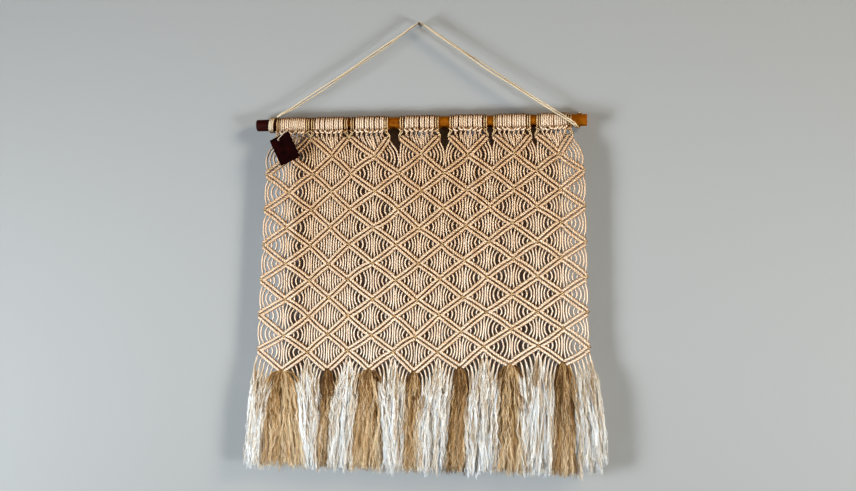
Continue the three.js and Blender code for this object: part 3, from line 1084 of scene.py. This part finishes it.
def tag_place(x, height, y):
    """From the tag's own flat frame to the one round the dowel's axis. height is from its back forwards."""
    cos, sin = math.cos(TAG_TURN), math.sin(TAG_TURN)
    return (
        TAG_CENTRE[0] + x * cos - y * sin,
        TAG_CENTRE[1] - height,
        TAG_CENTRE[2] + x * sin + y * cos,
    )


def make_tag(material):
    """A cut piece of leather with rounded, rubbed edges and a slight curl."""
    bevel = 0.5 * MM
    curve = bpy.data.curves.new("tag_shape", "CURVE")
    curve.dimensions = "2D"
    curve.fill_mode = "BOTH"
    curve.extrude = TAG_THICKNESS / 2 - bevel
    curve.bevel_depth = bevel
    curve.bevel_resolution = 3
    closed_spline(curve, tag_outline(bevel))
    hole_reach = TAG_HOLE_RADIUS + bevel
    closed_spline(curve, [
        (TAG_HOLE[0] + hole_reach * math.cos(angle), TAG_HOLE[1] + hole_reach * math.sin(angle))
        for angle in np.linspace(0, TURN, 24, endpoint=False)
    ])
    shape = bpy.data.objects.new("tag_shape", curve)
    bpy.context.scene.collection.objects.link(shape)
    bpy.context.view_layer.update()
    mesh = bpy.data.meshes.new_from_object(shape.evaluated_get(bpy.context.evaluated_depsgraph_get()))
    bpy.data.objects.remove(shape)
    bpy.data.curves.remove(curve)
    work = bmesh.new()
    work.from_mesh(mesh)
    bmesh.ops.remove_doubles(work, verts=work.verts, dist=0.01 * MM)
    for axis, half in ((0, TAG_SIZE[0] / 2), (1, TAG_SIZE[1] / 2)):
        for place in np.arange(-half + 3 * MM, half - 2 * MM, 3 * MM):
            normal = (1, 0, 0) if axis == 0 else (0, 1, 0)
            centre = (place, 0, 0) if axis == 0 else (0, place, 0)
            everything = list(work.verts) + list(work.edges) + list(work.faces)
            bmesh.ops.bisect_plane(work, geom=everything, plane_co=centre, plane_no=normal)
    for vert in work.verts:
        x, y, z = vert.co
        curl = 0.9 * MM * (2 * x / TAG_SIZE[0]) ** 2 + 0.7 * MM * (x / TAG_SIZE[0]) * (2 * y / TAG_SIZE[1])
        vert.co = tag_place(x, z + TAG_THICKNESS / 2 + curl, y)
    for face in work.faces:
        face.smooth = True
    bmesh.ops.recalc_face_normals(work, faces=work.faces)
    work.to_mesh(mesh)
    work.free()
    mesh.materials.clear()
    mesh.materials.append(material)
    tag = bpy.data.objects.new("tag_hide", mesh)
    bpy.context.scene.collection.objects.link(tag)
    return tag


def make_tie(materials):
    """A thin cotton tie: from the heads down behind the tag, through its hole and up its front again."""
    hole_x, hole_y = TAG_HOLE
    top_x, top_y, top_z = TIE_TOP
    centres = smooth_route(
        [
            (top_x + 1.4 * MM, top_y, top_z),
            (top_x + 1.2 * MM, top_y - 2.6 * MM, top_z - 3 * MM),
            (top_x + 0.6 * MM, top_y - 4.0 * MM, top_z - 7 * MM),
            tag_place(hole_x + 2.5 * MM, -1.0 * MM, hole_y + 3.0 * MM),
            tag_place(hole_x + 0.3 * MM, -0.2 * MM, hole_y + 0.4 * MM),
            tag_place(hole_x - 0.1 * MM, TAG_THICKNESS / 2, hole_y),
            tag_place(hole_x + 0.2 * MM, TAG_THICKNESS + 1.0 * MM, hole_y + 0.3 * MM),
            tag_place(hole_x + 2.6 * MM, TAG_THICKNESS + 1.5 * MM, hole_y + 1.2 * MM),
            tag_place(hole_x + 7 * MM, TAG_THICKNESS + 1.2 * MM, hole_y + 2.6 * MM),
            (top_x - 1.2 * MM, top_y - 6.6 * MM, top_z - 6 * MM),
            (top_x - 0.6 * MM, top_y - 3.2 * MM, top_z - 2.2 * MM),
            TIE_TOP,
        ],
        0.5 * MM,
    )
    centres[:, 2] -= DOWEL_DROP
    tubes = TubeSet()
    tubes.add(centres, TIE_RADIUS, TIE_RADIUS, 8, 0.9, 0, carried_frames(centres))
    return tubes.build("tag_string", materials), centres


# ---------------------------------------------------------------- what each piece rides on


def stands_for(piece, body, node):
    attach(piece, body)
    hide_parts(node)


def placed(piece, body, node):
    """Moves a piece made round the dowel's axis to its place. It stands for its CAD node."""
    piece.location = (0, 0, -DOWEL_DROP)
    bpy.context.view_layer.update()
    stands_for(piece, body, node)


# ---------------------------------------------------------------- making everything

make_camera()

hanger_materials = [cord_material("hanger_cord", HANGER_STOPS, HANGER_SIDE_SHADE, 3, 2.4, 0.2 * MM)]
hanger, hanger_path = make_hanger(hanger_materials)
stands_for(hanger, "hanger", "hanger_cord")

cotton_materials = [
    cord_material("cotton_cord", COTTON_STOPS, COTTON_SIDE_SHADE, 3, 2.2, 0.25 * MM),
    fibre_material("cotton_fibre", COTTON_FIBRE_STOPS),
]
tie, tie_path = make_tie(cotton_materials[:1])
stands_for(tie, "tag", "tag_tie")

make_light()
make_stage()

jute_materials = [
    cord_material("jute_cord", JUTE_STOPS, JUTE_SIDE_SHADE, 2, 3.0, 0.3 * MM),
    fibre_material("jute_fibre", JUTE_FIBRE_STOPS),
]

placed(make_dowel(wood_material()), "textile", "dowel_rod")
placed(make_tag(leather_material()), "tag", "leather_tag")

for half in range(HALVES):
    jute_name = f"jute_cord_{half + 1:02d}"
    placed(jute_cord(half, jute_name.replace("cord", "leader"), jute_materials), "textile", jute_name)
    for cord in range(LEGS_PER_HALF // 2):
        cotton_name = f"cotton_cord_{half * LEGS_PER_HALF // 2 + cord + 1:02d}"
        piece = cotton_cord(half, cord, cotton_name.replace("cord", "knots"), cotton_materials)
        placed(piece, "textile", cotton_name)
